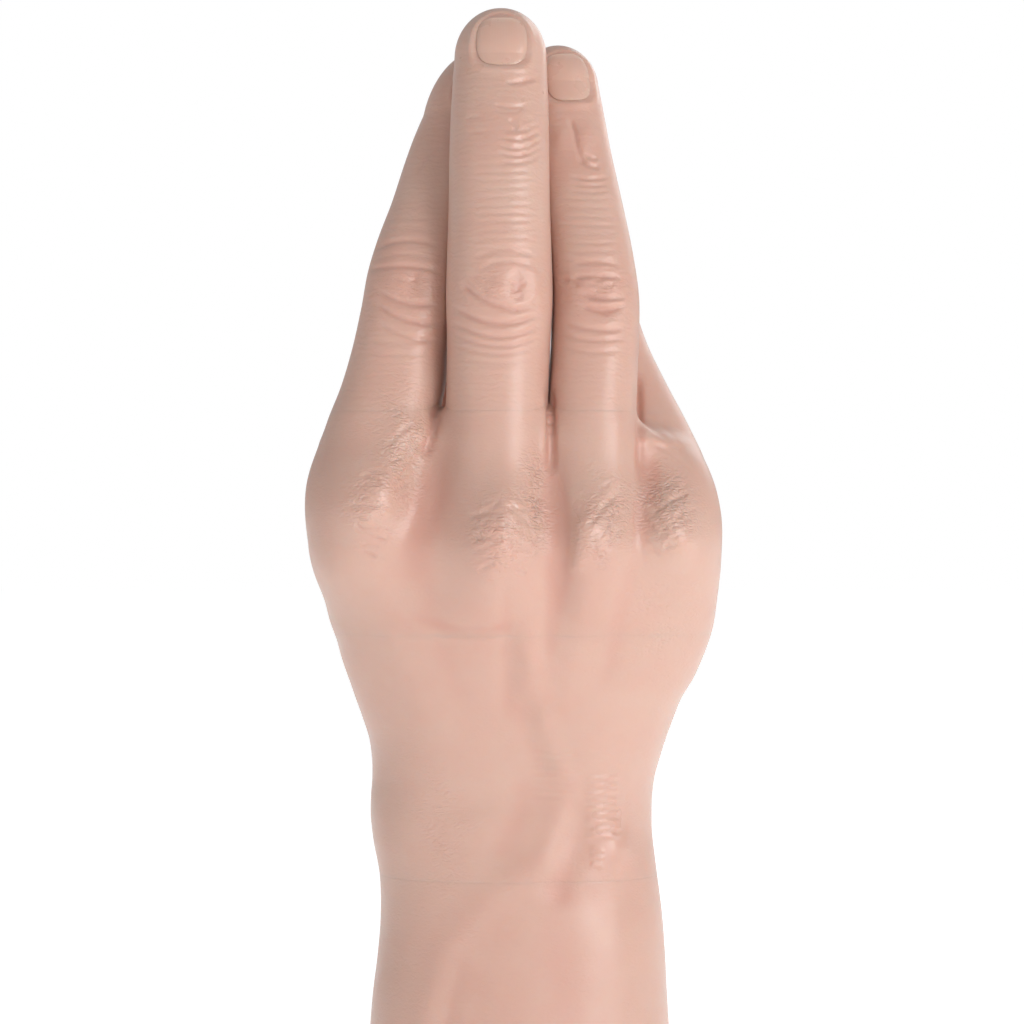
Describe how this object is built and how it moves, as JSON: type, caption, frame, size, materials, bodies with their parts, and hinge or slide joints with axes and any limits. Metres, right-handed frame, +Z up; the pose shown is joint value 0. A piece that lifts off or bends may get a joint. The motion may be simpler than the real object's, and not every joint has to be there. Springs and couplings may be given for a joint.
{
  "type": "prosthetic hand",
  "caption": "Right cosmetic prosthetic hand with a soft skin, fingers bunched to a taper, a friction wrist, hinged fingers and thumb, and a threaded coupling under a flat base.",
  "frame": {"origin": "on the wrist turning axis in the plane of the flat base, at the mouth of the threaded coupling", "axes": "+Z up the forearm to the fingertips, -Y towards the back of the hand, -X towards the thumb side"},
  "size_m": [0.0811, 0.0625, 0.2529],
  "materials": {
    "skin": "soft satin skin-coloured elastomer",
    "nail": "satin, a little paler than the skin",
    "core_plastic": "rigid foam, matt",
    "black_plastic": "fine matt",
    "cast_aluminium": "bead blasted",
    "friction_lining": "matt",
    "brass": "machined",
    "steel": "machined"
  },
  "bodies": {
    "forearm": {"forearm_skin": "skin", "forearm_core": "core_plastic", "base_plate": "black_plastic", "thread_insert": "brass", "base_screws": "steel", "wrist_housing": "cast_aluminium"},
    "hand": {"wrist_spindle": "steel", "wrist_friction_disc": "friction_lining", "wrist_disc_springs": "steel", "wrist_nut": "steel", "palm_frame": "cast_aluminium", "frame_screws": "steel", "knuckle_shaft": "steel", "knuckle_collars": "steel", "knuckle_washers": "brass", "palm_core": "core_plastic", "palm_skin": "skin", "thumb_pivot_pin": "steel", "thumb_washers": "brass", "thumb_pivot_collar": "steel", "thumb_spacer": "steel"},
    "fingers": {"finger_yoke": "cast_aluminium", "rod_set_screws": "steel", "knuckle_pad": "skin", "index_rod": "steel", "index_rod_cap": "black_plastic", "index_finger": "skin", "index_nail": "nail", "middle_rod": "steel", "middle_rod_cap": "black_plastic", "middle_finger": "skin", "middle_nail": "nail", "ring_rod": "steel", "ring_rod_cap": "black_plastic", "ring_finger": "skin", "ring_nail": "nail", "little_rod": "steel", "little_rod_cap": "black_plastic", "little_finger": "skin", "little_nail": "nail"},
    "thumb_base": {"thumb_lever": "cast_aluminium", "thumb_hinge_pin": "steel", "thenar_pad": "skin"},
    "thumb": {"thumb_rod": "steel", "thumb_rod_cap": "black_plastic", "thumb_tip": "skin", "thumb_nail": "nail"}
  },
  "joints": [
    {"name": "wrist_turn", "type": "hinge", "parent": "forearm", "child": "hand", "pos_m": [0, 0, 0.07], "axis": [0, 0, 1], "range_deg": [-60, 60]},
    {"name": "fingers_open", "type": "hinge", "parent": "hand", "child": "fingers", "pos_m": [0, -0.022, 0.147], "axis": [1, 0, 0], "range_deg": [0, 35]},
    {"name": "thumb_swing", "type": "hinge", "parent": "hand", "child": "thumb_base", "pos_m": [-0.0165, 0.003, 0.108], "axis": [-0.9781, -0.2079, 0], "range_deg": [0, 40]},
    {"name": "thumb_bend", "type": "hinge", "parent": "thumb_base", "child": "thumb", "pos_m": [-0.01775, 0.00887, 0.143], "axis": [-0.9781, -0.2079, 0], "range_deg": [0, 30]}
  ]
}
